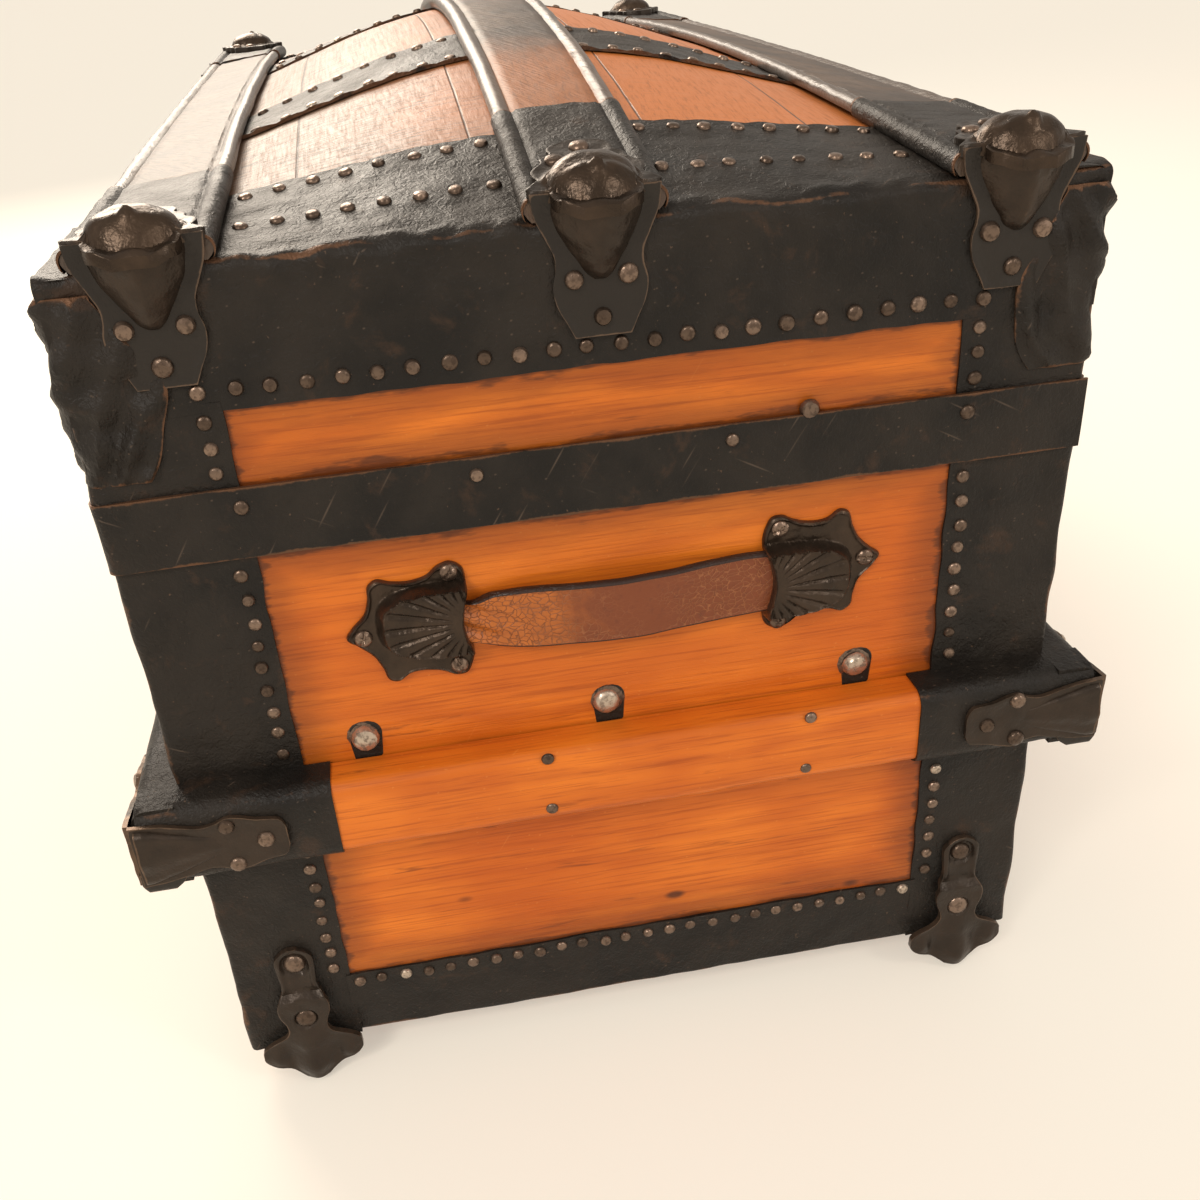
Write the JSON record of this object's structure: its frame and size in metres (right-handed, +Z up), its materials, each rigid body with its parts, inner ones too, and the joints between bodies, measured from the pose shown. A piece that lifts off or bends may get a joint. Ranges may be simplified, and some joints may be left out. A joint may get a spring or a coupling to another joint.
{
  "type": "travelling trunk",
  "caption": "Crown-topped wooden trunk bound in dark sheet metal, with bent slats, cast corner bumpers, leather end handles, a hasp, drop catches and rollers.",
  "frame": {"origin": "on the floor under the middle of the trunk, at the bottom centre of its box", "axes": "+X along the trunk's length towards the end that the picture shows (right end), -Y towards the front with the lock, +Z up"},
  "size_m": [0.9292, 0.5382, 0.5586],
  "materials": {
    "varnished_wood": "aged orange varnish over pine, glossy, with fine grain, scratches and small knots",
    "body_slats": "rounded hardwood slats in orange varnish, scuffed along their top edges",
    "worn_slats": "weathered slats, grey-brown and scratched on top, varnish left on their round edges",
    "sheet_metal": "black painted sheet metal with brown scuffs, dents and worn coppery edges",
    "cast_fittings": "dark cast iron, softly shiny on the high places, brown in the hollows",
    "nail_heads": "tarnished bronze-brown heads, a few of them worn bright",
    "leather": "red-brown harness leather, worn orange and crackled, with dark rims"
  },
  "bodies": {
    "body": {"bottom_board": "varnished_wood", "bottom_slats": "body_slats", "front_board": "varnished_wood", "back_board": "varnished_wood", "right_end_board": "varnished_wood", "left_end_board": "varnished_wood", "body_corner_metal": "sheet_metal", "foot_metal": "sheet_metal", "front_slat": "body_slats", "back_slat": "body_slats", "right_end_slat": "body_slats", "left_end_slat": "body_slats", "end_slat_sleeves": "sheet_metal", "side_slat_sleeves": "sheet_metal", "slat_bumper_right_front": "cast_fittings", "slat_bumper_right_back": "cast_fittings", "slat_bumper_left_front": "cast_fittings", "slat_bumper_left_back": "cast_fittings", "right_handle_caps": "cast_fittings", "left_handle_caps": "cast_fittings", "right_handle_leather": "leather", "left_handle_leather": "leather", "handle_screws": "nail_heads", "end_bolts": "nail_heads", "body_nails": "nail_heads", "slat_rivets": "nail_heads", "caster_brackets": "cast_fittings", "roller_axles": "nail_heads", "lock_case": "cast_fittings", "catch_plates": "cast_fittings", "hinge_body_leaves": "cast_fittings", "hinge_pins": "nail_heads"},
    "lid": {"lid_front_board": "varnished_wood", "lid_back_board": "varnished_wood", "lid_right_board": "varnished_wood", "lid_left_board": "varnished_wood", "lid_top_board": "varnished_wood", "lid_corner_metal": "sheet_metal", "lid_end_metal": "sheet_metal", "lid_side_metal": "sheet_metal", "lid_bands": "sheet_metal", "lid_strap": "sheet_metal", "lid_centre_slat": "worn_slats", "lid_front_slat": "worn_slats", "lid_back_slat": "worn_slats", "lid_slat_sleeves": "sheet_metal", "lid_bumpers_right": "cast_fittings", "lid_bumpers_left": "cast_fittings", "lid_nails": "nail_heads", "lid_rivets": "nail_heads", "hinge_lid_leaves": "cast_fittings", "catch_bases": "cast_fittings", "catch_pins": "nail_heads"},
    "hasp": {"hasp": "cast_fittings"},
    "right_tongue": {"right_tongue": "cast_fittings"},
    "left_tongue": {"left_tongue": "cast_fittings"},
    "roller_right_front": {"roller_right_front": "cast_fittings"},
    "roller_right_back": {"roller_right_back": "cast_fittings"},
    "roller_left_front": {"roller_left_front": "cast_fittings"},
    "roller_left_back": {"roller_left_back": "cast_fittings"}
  },
  "joints": [
    {"name": "lid_hinge", "type": "hinge", "parent": "body", "child": "lid", "pos_m": [0, 0.248, 0.3692], "axis": [-1, 0, 0], "range_deg": [0, 100]},
    {"name": "hasp_hinge", "type": "hinge", "parent": "lid", "child": "hasp", "pos_m": [0, -0.2484, 0.385], "axis": [-1, 0, 0], "range_deg": [0, 150]},
    {"name": "right_catch_hinge", "type": "hinge", "parent": "lid", "child": "right_tongue", "pos_m": [0.26, -0.2484, 0.385], "axis": [-1, 0, 0], "range_deg": [0, 150]},
    {"name": "left_catch_hinge", "type": "hinge", "parent": "lid", "child": "left_tongue", "pos_m": [-0.26, -0.2484, 0.385], "axis": [-1, 0, 0], "range_deg": [0, 150]},
    {"name": "roller_right_front_spin", "type": "hinge", "parent": "body", "child": "roller_right_front", "pos_m": [0.415, -0.204, 0.0115], "axis": [0, 1, 0], "continuous": true},
    {"name": "roller_right_back_spin", "type": "hinge", "parent": "body", "child": "roller_right_back", "pos_m": [0.415, 0.204, 0.0115], "axis": [0, 1, 0], "continuous": true},
    {"name": "roller_left_front_spin", "type": "hinge", "parent": "body", "child": "roller_left_front", "pos_m": [-0.415, -0.204, 0.0115], "axis": [0, 1, 0], "continuous": true},
    {"name": "roller_left_back_spin", "type": "hinge", "parent": "body", "child": "roller_left_back", "pos_m": [-0.415, 0.204, 0.0115], "axis": [0, 1, 0], "continuous": true}
  ]
}
